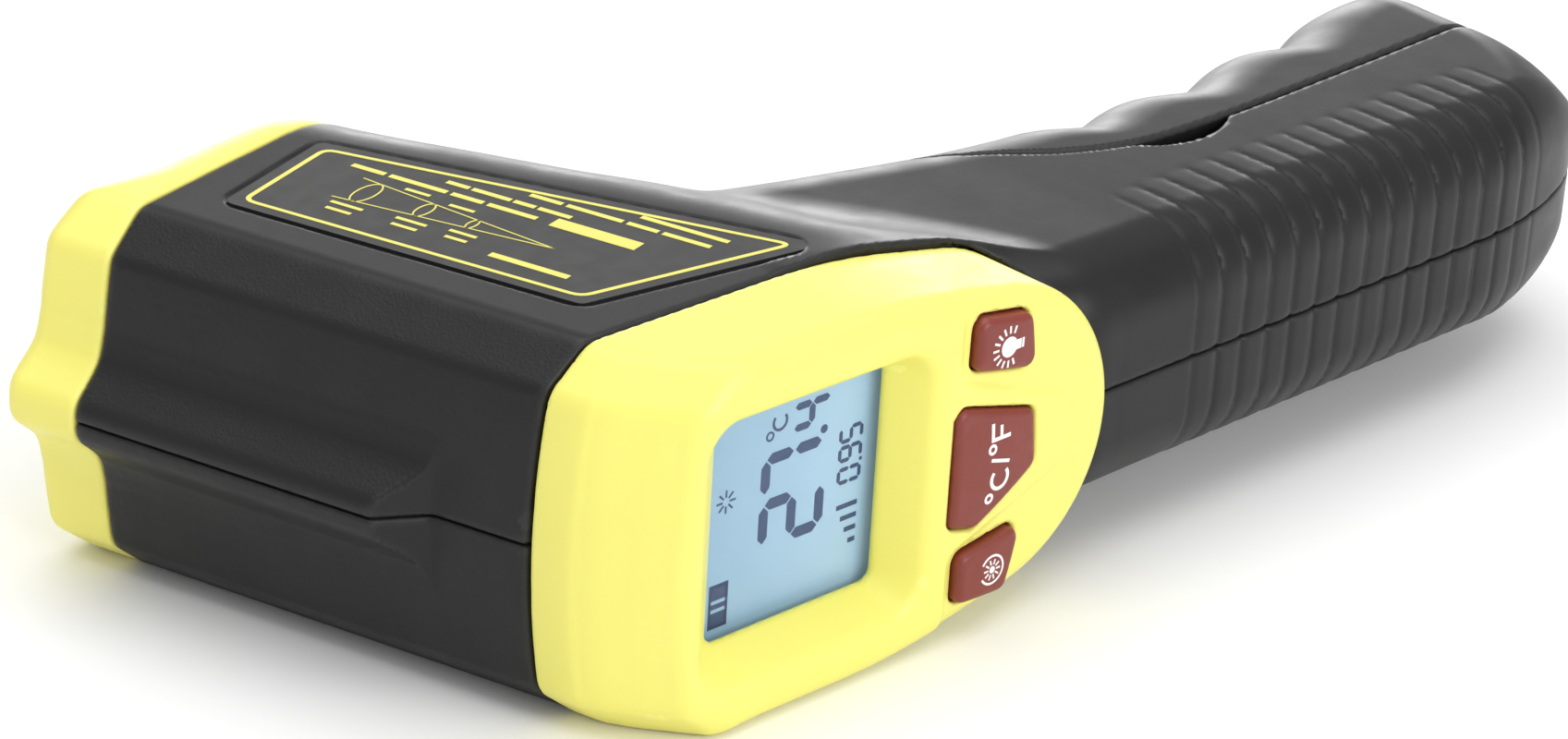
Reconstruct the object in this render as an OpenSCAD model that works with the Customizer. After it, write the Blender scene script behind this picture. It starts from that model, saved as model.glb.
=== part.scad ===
// Infrared thermometer with a pistol grip, lying on its left side.
//
// The housing is drawn in the gun's own frame: X runs down the grip from the head's top face,
// Y runs forward along the line of sight from the front seam, and Z points to the right side
// of the housing from the mid-plane on which the two half shells meet.
// place() then puts the origin at the middle of the whole outline, on the surface below it.
// Lengths are in millimetres and angles in degrees.

/* [Head] */
// Width of the head over its two side faces
head_w = 38; // [37:0.5:40]
// Width of the top face between its two chamfers
top_w = 30.4; // [29:0.2:32]
// Depth of the chamfer along the top edges
chamfer = 4.6; // [3.5:0.1:5.5]
// Rise of the crowned top face at the mid-plane
crown = 1.5; // [0.5:0.1:2]
// Distance from the top face to the underside
head_h = 46; // [45:0.5:48]
// Length of the top face from the front seam to the rear seam
head_l = 48.3; // [47:0.1:50]
// Backward lean of the rear seam and of the display face
rear_tilt = 16.2; // [15:0.1:17]
// Height of the raised ridge that covers the laser
ridge_h = 5.5; // [5:0.1:6]
// Width of the ridge at its foot
ridge_w = 12.9; // [12:0.1:14]
// Length of the ridge at its foot
ridge_l = 37.5; // [34:0.5:40]
// Thickness of the housing walls
wall = 2; // [1.8:0.1:2.2]

/* [Grip] */
// Lean of the grip, measured from the normal of the line of sight
grip_tilt = 15.6; // [15:0.1:16.2]
// Width of the grip
grip_w = 26.4; // [26:0.2:28]
// Distance from the grip frame's origin to the foot of the grip
grip_end = 147.5; // [147:0.5:149]
// Radius of the grip's two rear edges
rear_round = 8.5; // [7.5:0.5:9]
// Radius of the grip's two front edges
front_round = 11; // [10:0.5:11.5]

/* [Rear bezel] */
// Height of the display face above the rear seam
face_w = 13; // [12.6:0.1:13.4]
// Radius of the rounded lower end
nose_r = 16.3; // [16:0.1:16.6]
// Length of the display opening
window_l = 21; // [19.5:0.1:21]
// Width of the display opening
window_w = 22.2; // [21:0.1:22.6]

/* [Controls] */
// Travel of each key
key_travel = 0.8; // [0.4:0.1:0.8]
// Height of the keys above the display face
key_rise = 0.8; // [0.5:0.1:1]
// Travel of the trigger
trigger_travel = 3; // [2:0.1:3]
// Width of the trigger
trigger_w = 9; // [8:0.1:9.2]

/* [Optics] */
// Distance of the line of sight below the top face
axis_x = 22; // [21:0.1:23]
// Radius of the round opening in the front bezel
aperture_r = 12.6; // [12.5:0.1:13]
// Radius of the laser module
laser_r = 3; // [2.8:0.1:3]

/* [Battery] */
// Radius of an AAA cell
cell_r = 5.25; // [5:0.05:5.25]
// Length of an AAA cell with its terminal
cell_l = 44.5; // [43.5:0.1:44.5]

/* [Hidden] */
$fn = 48;

// Colours
BLACK = [0.09, 0.09, 0.10];
YELLOW = [0.95, 0.93, 0.35];
MAROON = [0.50, 0.20, 0.15];
BOARD = [0.10, 0.35, 0.20];
STEEL = [0.75, 0.76, 0.78];
BRASS = [0.80, 0.66, 0.36];

// The gun's lowest point is its left side face, and its middle lies here in the gun's frame
mid_x = 73;
mid_y = -42.5;
rest_z = head_w / 2;

half_w = head_w / 2;
// The rear seam's frame starts at the back end of the top face
seam_y = -head_l;
// The grip's frame starts where the line of its back edge meets the plane of the top face
grip_y = -59.35;
half_grip = grip_w / 2;
// Corner radii of the grip's foot, seen from the side and from the front
foot_back_r = 22;
foot_front_r = 6;
foot_side_r = 10;
// Gap left between the battery door and the shells on each side of their seam
door_gap = 0.15;
slack = 0.2;
far = 200;

// ---------------------------------------------------------------- outlines

function unit(v) = v / norm(v);
function turned(v) = [-v[1], v[0]];
function at(list, i) = list[(i + len(list)) % len(list)];

// A convex or gently curved anticlockwise outline with each side moved inwards by d
function inset(pts, d) = [
    for (i = [0 : len(pts) - 1])
        let (
            m = turned(unit(pts[i] - at(pts, i - 1))),
            n = turned(unit(at(pts, i + 1) - pts[i]))
        )
        pts[i] + d * (m + n) / (1 + m * n)
];

// The same kind of outline with every corner rounded
function fillet(pts, r, n = 5) =
    let (centres = inset(pts, r))
    [
        for (i = [0 : len(pts) - 1])
            let (
                a = unit(pts[i] - at(pts, i - 1)),
                b = unit(at(pts, i + 1) - pts[i]),
                start = atan2(-a[0], a[1]),
                turn = atan2(a[0] * b[1] - a[1] * b[0], a * b)
            )
            for (k = [0 : n])
                centres[i] + r * [cos(start + turn * k / n), sin(start + turn * k / n)]
    ];

// An upper half outline, from z = 0 round to z = 0 again, with its mirror image
function both_sides(pts) = concat(
    pts,
    [for (i = [len(pts) - 1 : -1 : 0]) if (abs(pts[i][1]) > 0.001) [pts[i][0], -pts[i][1]]]
);

function rectangle(x0, x1, z) = [[x0, -z], [x1, -z], [x1, z], [x0, z]];

function arc(centre, r, from, to, n) = [
    for (i = [0 : n])
        let (a = from + (to - from) * i / n)
        centre + r * [cos(a), sin(a)]
];

// Cross-section of the head, seen along the line of sight
function crown_line() = [
    for (i = [0 : 4])
        let (t = 1 - i / 4)
        [-crown * (1 - t * t), top_w / 2 * t]
];
belly_r = 11;
function head_section(d = 0) = inset(
    both_sides(concat(
        [[head_h, 0]],
        arc([head_h - belly_r, half_w - belly_r], belly_r, 0, 90, 8),
        [[chamfer, half_w]],
        crown_line()
    )),
    d
);

// Cross-section of the ridge, with hollow flanks
function ridge_section(grow = 0) = both_sides([
    [2, 0],
    [2, ridge_w / 2 + grow],
    [-crown * 0.75, ridge_w / 2 + grow],
    [-ridge_h * 0.45, ridge_w * 0.37 + grow],
    [-ridge_h * 0.80, ridge_w * 0.28 + grow],
    [-ridge_h - grow, ridge_w * 0.17 + grow / 2],
    [-ridge_h - grow, 0]
]);

// Outline of the rear bezel, drawn in the plane of the rear seam
nose_u = 46.4;
nose_start = 78.6;
function rear_outline(top = 0, d = 0) = inset(
    both_sides(concat(
        arc([nose_u, 0], nose_r, 0, nose_start, 9),
        [[34.5, half_w], [top + chamfer, half_w]],
        [for (p = crown_line()) p + [top, 0]]
    )),
    d
);

// ---------------------------------------------------------------- the grip's lofted form

// Distances along the grip, each with the height of the surface there
BACK = [[26, 10.6], [40, 10.4], [50, 4.2], [58, 0.5], [64, 0], [148, 0]];
FRONT = [
    [26, 48.5], [36, 48.2], [42, 47], [50, 45.3], [56, 44.1], [63, 42], [70, 40], [77, 38.9],
    [82, 38.2], [88, 35.6], [97, 37.4], [105, 35.3], [116, 38.5], [123.5, 37.3], [133, 41],
    [141.5, 42.6], [148, 42.8]
];
HALF = [[26, 17.2], [42, 17], [50, 16.3], [57, 15.3], [63, 14.4], [70, 13.6], [78, 13.2],
    [148, 13.2]];

function span(pts, s, i = 0) =
    (i >= len(pts) - 2 || s < pts[i + 1][0]) ? i : span(pts, s, i + 1);

// A smooth curve through the points of a table, by the Catmull-Rom rule
function smooth(pts, s) =
    let (
        i = span(pts, s),
        a = pts[max(i - 1, 0)][1],
        b = pts[i][1],
        c = pts[i + 1][1],
        d = pts[min(i + 2, len(pts) - 1)][1],
        t = (s - pts[i][0]) / (pts[i + 1][0] - pts[i][0])
    )
    b + t / 2 * ((c - a) + t * ((2 * a - 5 * b + 4 * c - d) + t * (3 * b - a - 3 * c + d)));

// How far a rounded end of radius r has fallen back at s, for a form shrunk by d
function falloff(s, r, d) =
    let (x = min(s - (grip_end - r), r - d))
    x > 0 ? (r - d) - sqrt(pow(r - d, 2) - x * x) : 0;

function grip_back(s, d) = smooth(BACK, s) + d + falloff(s, foot_back_r, d);
function grip_front(s, d) = smooth(FRONT, s) - d - falloff(s, foot_front_r, d);
function grip_half(s, d) = smooth(HALF, s) * half_grip / 13.2 - d - falloff(s, foot_side_r, d);

// One closed ring round the grip, as a rectangle with rounded corners
function ring(s, d) =
    let (
        b = grip_back(s, d),
        f = grip_front(s, d),
        h = grip_half(s, d),
        most = min(h, (f - b) / 2) - 0.05,
        rf = min(front_round - d, most),
        rb = min(rear_round - d, most)
    )
    [
        for (q = [[f - rf, h - rf, rf, 0], [b + rb, h - rb, rb, 90],
                  [b + rb, rb - h, rb, 180], [f - rf, rf - h, rf, 270]])
            for (p = arc([q[0], q[1]], q[2], q[3], q[3] + 90, 5))
                [s, p[0], p[1]]
    ];

function stations(d) = concat(
    [for (s = [26 : 3 : 123]) s],
    [for (a = [0 : 9 : 90]) grip_end - foot_back_r + (foot_back_r - d) * sin(a)]
);

// A closed form through a list of rings with the same number of points
module loft(rings) {
    m = len(rings[0]);
    n = len(rings);
    sides = [
        for (i = [0 : n - 2])
            for (j = [0 : m - 1])
                let (k = (j + 1) % m)
                for (t = [
                    [i * m + j, (i + 1) * m + j, (i + 1) * m + k],
                    [i * m + j, (i + 1) * m + k, i * m + k]
                ])
                    t
    ];
    first = [for (j = [0 : m - 1]) j];
    last = [for (j = [m - 1 : -1 : 0]) (n - 1) * m + j];
    polyhedron(points = [for (r = rings) for (p = r) p], faces = concat(sides, [first, last]));
}

// ---------------------------------------------------------------- placing

module place() {
    translate([-mid_x, -mid_y, rest_z])
        children();
}

// X down the display face, -Y outwards from the rear seam
module on_rear() {
    translate([0, seam_y, 0])
        rotate([0, 0, -rear_tilt])
            children();
}

// X along the grip, Y from its back towards its front
module on_grip() {
    translate([0, grip_y, 0])
        rotate([0, 0, -grip_tilt])
            children();
}

function grip_point(s, n) = [
    s * cos(grip_tilt) + n * sin(grip_tilt),
    grip_y - s * sin(grip_tilt) + n * cos(grip_tilt)
];

// A flat outline in X and Z, made solid from y0 forward to y1
module slab(y0, y1, pts) {
    translate([0, y1, 0])
        rotate([90, 0, 0])
            linear_extrude(y1 - y0)
                polygon(pts);
}

// The same for the rear bezel's frame, from w0 outwards to w1
module rear_slab(w0, w1, pts) {
    slab(-w1, -w0, pts);
}

module y_rod(x, z, y0, y1, r) {
    translate([x, y1, z])
        rotate([90, 0, 0])
            cylinder(h = y1 - y0, r = r);
}

// A turned form about the line of sight, from [radius, y] points
module turned_form(pts) {
    translate([axis_x, 0, 0])
        rotate([-90, 0, 0])
            rotate_extrude()
                polygon(pts);
}

// A side-view outline, made solid from z0 up to z1
module plate(z0, z1, pts) {
    translate([0, 0, z0])
        linear_extrude(z1 - z0)
            polygon(pts);
}

module z_rod(p, z0, z1, r) {
    translate([p[0], p[1], z0])
        cylinder(h = z1 - z0, r = r);
}

// Rings of eight points round a route of [x, y, z] points
function wire_rings(route, r) = [
    for (i = [0 : len(route) - 1])
        let (
            t = unit(route[min(i + 1, len(route) - 1)] - route[max(i - 1, 0)]),
            a = unit(cross(t, [0, 0, 1])),
            b = cross(t, a)
        )
        [for (k = [0 : 45 : 315]) route[i] + r * (cos(k) * a + sin(k) * b)]
];

// A coil spring along Z
module coil(r, wire, h, turns) {
    steps = 14;
    sides = 6;
    loft([
        for (i = [0 : steps * turns])
            let (a = 360 * i / steps, z = wire + (h - 2 * wire) * i / (steps * turns))
            [
                for (j = [0 : sides - 1])
                    let (b = -360 * j / sides, q = r + wire * cos(b))
                    [q * cos(a), q * sin(a), z + wire * sin(b)]
            ]
    ]);
}

// ---------------------------------------------------------------- the housing as a whole

front_slope = -0.03;
rear_slope = -tan(rear_tilt);

// Side view of the head between its two seams, moved back from both by gap
function head_side(gap = 0) = [
    [-far, front_slope * -far - gap],
    [-far, seam_y + rear_slope * -far + gap],
    [far, seam_y + rear_slope * far + gap],
    [far, front_slope * far - gap]
];

module head(d = 0) {
    intersection() {
        slab(-90, 10, head_section(d));
        plate(-half_w, half_w, head_side());
    }
}

module ridge() {
    intersection() {
        slab(-ridge_l, 0, ridge_section());
        plate(-half_w, half_w, [[3, -0.09], [3, -ridge_l - 0.5], [-1.5, -ridge_l],
            [-ridge_h - 1, 4.2 - ridge_l], [-ridge_h - 1, 0.2]]);
    }
}

module grip(d = 0) {
    on_grip()
        loft([for (s = stations(d)) ring(s, d)]);
}

module housing() {
    difference() {
        union() {
            head();
            ridge();
            grip();
        }
        on_rear()
            rear_slab(0, 30, rear_outline(0, -0.1));
    }
}

// Battery door seam, seen from the side in the grip's frame; gap widens the region
seam_s = 86.5;
seam_n = 19.2;
heel_r = 4.8;
pivot_s = grip_end - heel_r - 0.1;
pivot_n = 26;
pivot = grip_point(pivot_s, pivot_n);
function door_region(gap) = [
    [65.5 - gap, 70],
    [65.5 - gap, 34],
    [70 - gap, 28.5 - gap],
    [seam_s, seam_n - gap],
    [160, seam_n + 2 - gap],
    [160, 70]
];

module door_space(gap) {
    on_grip()
        plate(-half_w, half_w, door_region(gap));
}

// ---------------------------------------------------------------- shells

// Housing screws: place in side view and half width of the housing there
SCREWS = [
    [[37.5, -12.5], 17.4],
    [[16, -41], 19],
    [[50, -54], 16.4],
    [grip_point(137, 13), 13.2],
    [grip_point(84, 8), 13.2]
];
boss_r = 3.2;
screw_r = 1.25;
screw_head_r = 2.6;
screw_head_h = 2;
screw_sunk = 4;
screw_tip = 7;

LABEL = [[25.9, -6.2], [11.2, -7.0], [12.0, -44.2], [33.9, -54.0]];
label_room = 0.5;
label_sunk = 0.35;
label_t = 0.25;

function label_outline(d) = fillet(inset(LABEL, d), 1);

module label_recess(side) {
    z0 = side > 0 ? half_w - label_sunk : -half_w - 1;
    plate(z0, z0 + label_sunk + 1, label_outline(-1.8));
}

// A rib across the grip that carries the battery holder
module holder_rib(s) {
    on_grip()
        translate([s, 0, 0])
            rotate([90, 0, 90])
                linear_extrude(1.6)
                    polygon(both_sides([[17, 0], [17, 12.2], [8.5, 12.2], [3.2, 10], [1, 4.7], [1, 0]]));
}

// Ribs and bosses that both shells share
module fittings() {
    difference() {
        slab(-17.6, -16, head_section(1));
        y_rod(axis_x, 0, -20, -10, 10.1);
    }
    on_grip()
        slab(28.5, 31, both_sides([[56, 0], [56, 14.3], [38, 16], [38, 0]]));
    holder_rib(92);
    holder_rib(120);
    for (s = SCREWS)
        z_rod(s[0], 1 - s[1], s[1] - 1, boss_r);
}

// The fixed lug that carries the door's hinge pin
lug_r = 2.6;
lug_half = 3.2;
pin_r = 1.25;
function bar(a, b, w) =
    let (n = turned(unit(b - a)) * w / 2)
    [a - n, b - n, b + n, a + n];

module hinge_lug() {
    knee = grip_point(pivot_s - 5.3, 22.4);
    z_rod(pivot, -lug_half, lug_half, lug_r);
    plate(-lug_half, lug_half, bar(pivot, knee, 3.2));
    z_rod(knee, -lug_half, lug_half, 1.6);
    plate(-lug_half, lug_half, bar(knee, grip_point(137, 13), 3.2));
}

module thumb_notch(side) {
    z0 = side > 0 ? half_grip - 1.5 : -half_grip - 1;
    on_grip()
        z_rod([93, 27.2], z0, z0 + 2.5, 10.3);
}

module trigger_slot() {
    on_grip()
        translate([36.2, 38, -trigger_w / 2 - 0.3])
            cube([19.1, 25, trigger_w + 0.6]);
}

module shell_space(side) {
    translate([-far, -far, side > 0 ? 0 : -far])
        cube([2 * far, 2 * far, far]);
}

module shell(side) {
    difference() {
        union() {
            difference() {
                housing();
                head(wall);
                grip(wall);
                door_space(door_gap);
            }
            fittings();
            hinge_lug();
        }
        shell_space(-side);
        trigger_slot();
        label_recess(side);
        thumb_notch(side);
        y_rod(0, 0, -30, 5, laser_r + 0.1);
        z_rod(pivot, -10, 10, pin_r);
        for (s = SCREWS) {
            z_rod(s[0], -2, screw_tip + 0.5, screw_r);
            z_rod(s[0], -30, 0, 1.5);
            z_rod(s[0], -30, -s[1] + screw_sunk + screw_head_h, screw_head_r + 0.3);
        }
    }
}

module right_shell() {
    color(BLACK)
        shell(1);
}

module left_shell() {
    color(BLACK)
        shell(-1);
}

// ---------------------------------------------------------------- front bezel and optics

front_y = 8;
front_lean = -0.09;

// Side view of the front bezel, from the front seam plus back to the front face less cut
function front_side(back, cut) = [
    [-30, front_slope * -30 + back],
    [60, front_slope * 60 + back],
    [60, front_y + front_lean * 60 - cut],
    [-30, front_y + front_lean * -30 - cut]
];

module front_bezel_form() {
    intersection() {
        union() {
            hull() {
                slab(-3, 3, head_section());
                slab(5, 10, head_section(2.4));
            }
            hull()
                slab(-3, 9.2, ridge_section(0.7));
        }
        plate(-half_w, half_w, front_side(0, -0.4));
    }
}

module front_bezel() {
    color(YELLOW)
        difference() {
            union() {
                difference() {
                    front_bezel_form();
                    intersection() {
                        slab(-3, 9, head_section(2));
                        plate(-half_w, half_w, front_side(-3, 2));
                    }
                }
                y_rod(0, 0, 1, 8.2, 4.2);
                intersection() {
                    difference() {
                        slab(-5, 4, head_section(2.15));
                        slab(-6, 5, head_section(3.4));
                    }
                    plate(-half_w, half_w, front_side(-3, 2));
                }
            }
            y_rod(axis_x, 0, -10, 20, aperture_r);
            y_rod(0, 0, -10, 20, 2);
            y_rod(0, 0, -10, 6.4, 2.7);
            y_rod(0, 0, -10, 1, laser_r + 0.2);
        }
}

barrel_front = 2.4;
module lens_barrel() {
    color(BLACK)
        turned_form([
            [12.2, barrel_front], [13.4, barrel_front], [13.4, -8], [10, -8], [10, -20],
            [8.2, -20], [8.2, -11], [7.4, -11]
        ]);
}

module ir_lens() {
    color([0.35, 0.36, 0.38])
        turned_form(concat(
            [[0, -12.6], [8.2, -12.6], [8.2, -11.0], [7.4, -11.0]],
            [for (i = [1 : 5]) let (q = 7.4 * (1 - i / 5)) [q, -11 + 1.6 * (1 - pow(q / 7.4, 2))]]
        ));
}

module thermopile_sensor() {
    color(STEEL) {
        difference() {
            union() {
                y_rod(axis_x, 0, -20, -19.4, 5);
                y_rod(axis_x, 0, -19.4, -15.6, 4.4);
            }
            y_rod(axis_x, 0, -16.1, -15, 2.4);
        }
        for (a = [45 : 90 : 315])
            y_rod(axis_x + 2.5 * cos(a), 2.5 * sin(a), -22.6, -21.6, 0.3);
    }
}

module sensor_board() {
    color(BOARD)
        slab(-21.6, -20, fillet(rectangle(8, 37, 14), 1));
}

module laser_module() {
    color(BRASS)
        difference() {
            y_rod(0, 0, -15, -0.6, laser_r);
            y_rod(0, 0, -2.1, 0, 1.4);
        }
}

module laser_window() {
    color([0.8, 0.8, 0.85, 0.4])
        y_rod(0, 0, 5.4, 6.4, 2.7);
}

// ---------------------------------------------------------------- rear bezel, display and keys

RIGHT_KEY = [[41.8, 9.9], [50.2, 8.1], [49.1, 14.1], [41.9, 15.3]];
LEFT_KEY = [for (i = [3 : -1 : 0]) [RIGHT_KEY[i][0], -RIGHT_KEY[i][1]]];
UNITS_KEY = [[40, -6.5], [51, -3.1], [51, 3.1], [40, 6.5]];
key_corner = 1.2;
window_top = 13.2;
window_end = window_top + window_l;
rim_w = 7.7;
dish_w = 8.2;

// A form through flat outlines, each given with its height above the rear seam
module rear_loft(levels) {
    loft([for (v = levels) [for (p = v[1]) [p[0], -v[0], p[1]]]]);
}

// The bezel's outer form, or the hollow inside its wall when d is the wall's thickness
module bezel_form(d, start = 0) {
    rear_loft([
        [start, rear_outline(0, d)],
        [5, rear_outline(1.5, d)],
        [9, rear_outline(4.4, d)],
        [face_w - d, rear_outline(7.5, d + 1.2)]
    ]);
}

// The dished surround of the display; grow thickens it into its wall
module dish(grow) {
    rear_loft([
        [dish_w, rectangle(window_top - grow, window_end + grow, window_w / 2 + grow)],
        [face_w + 0.1, rectangle(7.8 - grow, 37.5 + grow, 14 + grow)]
    ]);
}

// A lip that enters the shells, with a wider foot inside the bezel's own wall
module bezel_lip() {
    intersection() {
        difference() {
            union() {
                rear_slab(-3, 1, rear_outline(0, 2.15));
                rear_slab(0.1, 1, rear_outline(0, 1));
            }
            rear_slab(-4, 2, rear_outline(0, 3.4));
        }
        rear_slab(-5, 5, rectangle(-5, 34, half_w));
    }
}

bezel_wall = 1.6;
POSTS = [[8.6, 12.5], [8.6, -12.5], [56.5, 5], [56.5, -5]];
board_w0 = 1.4;
board_w1 = 3;
post_r = 2.2;
board_screw_r = 1;

module rear_bezel() {
    color(YELLOW)
        on_rear()
            difference() {
                union() {
                    difference() {
                        bezel_form(0);
                        bezel_form(bezel_wall, -0.1);
                    }
                    intersection() {
                        bezel_form(0.5);
                        union() {
                            dish(bezel_wall);
                            rear_slab(rim_w, dish_w + 0.5, rectangle(window_top - bezel_wall,
                                window_end + bezel_wall, window_w / 2 + bezel_wall));
                            for (p = POSTS)
                                y_rod(p[0], p[1], -face_w, -board_w1, post_r);
                        }
                    }
                    bezel_lip();
                }
                dish(0);
                rear_slab(rim_w - 1, dish_w + 0.3,
                    fillet(rectangle(window_top + 0.2, window_end - 0.2, window_w / 2 - 0.2), 0.8));
                rear_slab(5.2, rim_w, rectangle(11.4, 36.8, 13));
                for (k = [RIGHT_KEY, LEFT_KEY, UNITS_KEY])
                    rear_slab(5, 20, fillet(inset(k, -slack), key_corner + slack));
                for (p = POSTS)
                    y_rod(p[0], p[1], -7.5, 0, board_screw_r);
            }
}

module lcd_window() {
    color([0.85, 0.9, 0.95, 0.35])
        on_rear()
            rear_slab(6.9, rim_w, fillet(rectangle(12, 35.4, 12.6), 0.5));
}

module lcd_panel() {
    color([0.62, 0.75, 0.85])
        on_rear()
            rear_slab(5.3, 6.8, rectangle(11.6, 36.5, 12.6));
}

module backlight() {
    color([0.92, 0.94, 0.96])
        on_rear()
            rear_slab(board_w1, 5.2, fillet(rectangle(12.2, 34.2, 12.2), 0.5));
}

module contact_strip() {
    color([0.75, 0.35, 0.45])
        on_rear()
            rear_slab(board_w1, 5.3, rectangle(34.7, 36.3, 11));
}

module main_board() {
    color(BOARD)
        on_rear()
            difference() {
                intersection() {
                    rear_slab(board_w0, board_w1, rear_outline(0, 2.3));
                    rear_slab(0, 5, rectangle(4.6, 70, half_w));
                }
                for (p = POSTS)
                    y_rod(p[0], p[1], -5, 0, board_screw_r + 0.1);
            }
}

module processor() {
    color([0.12, 0.12, 0.13])
        on_rear()
            rear_slab(0, board_w0, rectangle(15, 27, 6));
}

module buzzer() {
    color([0.15, 0.15, 0.16])
        on_rear()
            difference() {
                y_rod(40, 8, -board_w0, 2.1, 4.5);
                y_rod(40, 8, 1.1, 3, 0.8);
            }
}

KEY_CENTRES = [[45.6, 11.3], [45.4, 0], [45.6, -11.3]];
module dome_switches() {
    color(STEEL)
        on_rear()
            for (p = KEY_CENTRES) {
                y_rod(p[0], p[1], -3.6, -board_w1, 2.6);
                y_rod(p[0], p[1], -4.2, -3.6, 1.6);
            }
}

// A key with a flange that stops it under the face and a stem that presses its dome
flange_w0 = 9.2;
flange_w1 = 10.4;
stem_w = 5;
module key(pts, centre) {
    color(MAROON)
        on_rear() {
            rear_slab(flange_w1, face_w + key_rise, fillet(pts, key_corner));
            intersection() {
                rear_slab(flange_w0, flange_w1, fillet(inset(pts, -0.9), key_corner));
                rear_slab(flange_w0, flange_w1, rear_outline(0, 3));
            }
            y_rod(centre[0], centre[1], -flange_w0, -stem_w, 1.8);
        }
}

module backlight_button() {
    key(RIGHT_KEY, KEY_CENTRES[0]);
}

module units_button() {
    key(UNITS_KEY, KEY_CENTRES[1]);
}

module laser_button() {
    key(LEFT_KEY, KEY_CENTRES[2]);
}

// ---------------------------------------------------------------- trigger

trigger_root = 41.2;
module trigger() {
    color(BLACK)
        on_grip() {
            plate(-trigger_w / 2, trigger_w / 2, concat(
                [[54.6, trigger_root - 1], [54.6, 52]],
                [for (i = [1 : 7]) let (t = i / 8) [54.6 - 17.6 * t, 52 + 2.4 * t - 2.2 * sin(180 * t)]],
                [[37, 54.4], [37, trigger_root - 1]]
            ));
            slab(39, trigger_root, rectangle(38, 56, 7));
        }
}

spring_s = 51;
switch_s = 42.5;
module trigger_spring() {
    color(STEEL)
        on_grip()
            translate([spring_s, 31, 0])
                rotate([-90, 0, 0])
                    coil(2, 0.25, 8, 5);
}

module trigger_switch() {
    color([0.15, 0.15, 0.16])
        on_grip() {
            slab(31, 34.4, fillet(rectangle(switch_s - 3, switch_s + 3, 3), 0.4));
            y_rod(switch_s, 0, 34.4, 35.6, 1.4);
        }
}

// ---------------------------------------------------------------- battery bay and door

cell_n = 25;
cell_z = 5.45;
bay_s0 = 81;
bay_s1 = 131.5;
contact_t = 0.4;
spring_l = bay_s1 - bay_s0 - 2 * contact_t - cell_l;

module battery_door() {
    color(BLACK)
        difference() {
            union() {
                difference() {
                    intersection() {
                        grip();
                        door_space(-door_gap);
                    }
                    grip(wall);
                }
                on_grip()
                    for (z = [3.6, -6.6]) {
                        z_rod([pivot_s, pivot_n], z, z + 3, 3.2);
                        plate(z, z + 3, [[pivot_s, pivot_n - 1], [grip_end - 1.2, pivot_n - 1],
                            [grip_end - 1.2, pivot_n + 6], [pivot_s, pivot_n + 3.2]]);
                    }
            }
            z_rod(pivot, -6.7, 6.7, pin_r + 0.05);
            on_grip()
                difference() {
                    plate(-half_w, half_w, [[pivot_s, 10], [160, 10], [160, pivot_n], [pivot_s, pivot_n]]);
                    z_rod([pivot_s, pivot_n], -half_w, half_w, heel_r);
                }
            on_grip()
                plate(-lug_half - 0.3, lug_half + 0.3, [[pivot_s - 9, 10], [pivot_s + 0.5, 10],
                    [pivot_s + 0.5, pivot_n - 0.5], [pivot_s - 9, pivot_n - 0.5]]);
        }
}

module door_hinge_pin() {
    color(STEEL)
        z_rod(pivot, -6.6, 6.6, pin_r);
}

module battery_holder() {
    color([0.14, 0.14, 0.15])
        on_grip()
            difference() {
                union() {
                    translate([bay_s0 - 2, 17, -11])
                        cube([bay_s1 - bay_s0 + 4, 4, 22]);
                    for (s = [bay_s0 - 2, bay_s1])
                        translate([s, 17, -10.2])
                            cube([2, 10, 20.4]);
                }
                for (z = [cell_z, -cell_z])
                    translate([bay_s0, cell_n, z])
                        rotate([0, 90, 0])
                            cylinder(h = bay_s1 - bay_s0, r = cell_r + 0.1);
            }
}

// A cell whose terminal points along +s or -s
module cell(z, s, way) {
    nub = 0.8;
    on_grip()
        translate([s, cell_n, z])
            rotate([0, 90 * way, 0]) {
                cylinder(h = cell_l - nub, r = cell_r);
                translate([0, 0, cell_l - nub])
                    cylinder(h = nub, r = 1.9);
            }
}

module battery_right() {
    color([0.25, 0.35, 0.55])
        cell(cell_z, bay_s0 + contact_t + cell_l, -1);
}

module battery_left() {
    color([0.25, 0.35, 0.55])
        cell(-cell_z, bay_s1 - contact_t - cell_l, 1);
}

module battery_springs() {
    color(STEEL)
        on_grip() {
            translate([bay_s1 - contact_t - spring_l, cell_n, cell_z])
                rotate([0, 90, 0])
                    coil(2.4, 0.3, spring_l, 3);
            translate([bay_s0 + contact_t, cell_n, -cell_z])
                rotate([0, 90, 0])
                    coil(2.4, 0.3, spring_l, 3);
        }
}

module battery_contacts() {
    color(STEEL)
        on_grip() {
            for (z = [cell_z, -cell_z])
                translate([bay_s0, 21.3, z - 3.6])
                    cube([contact_t, 5.6, 7.2]);
            translate([bay_s1 - contact_t, 21.3, -cell_z - 3.6])
                cube([contact_t, 5.6, 2 * cell_z + 7.2]);
        }
}

module battery_leads() {
    lead_r = 0.6;
    color([0.7, 0.12, 0.1])
        on_grip()
            for (side = [-1, 1])
                loft(wire_rings([
                    [bay_s0 - 2.1, 20, side * 3], [76, 19.6, side * 3], [70, 17, side * 3],
                    [64, 13.5, side * 2.6], [60, 11.5, side * 2], [56.5, 10, side * 1.8]
                ], lead_r));
}

module sensor_ribbon() {
    t = 0.4;
    path = [[28, -21.6], [28, -27], [32, -35], [33, -48], [33.3, -59.2]];
    color([0.8, 0.8, 0.78])
        plate(-12, -4, concat(
            [for (p = path) p],
            [for (i = [len(path) - 1 : -1 : 0]) path[i] + [t, 0]]
        ));
}

// ---------------------------------------------------------------- fasteners and labels

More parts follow.
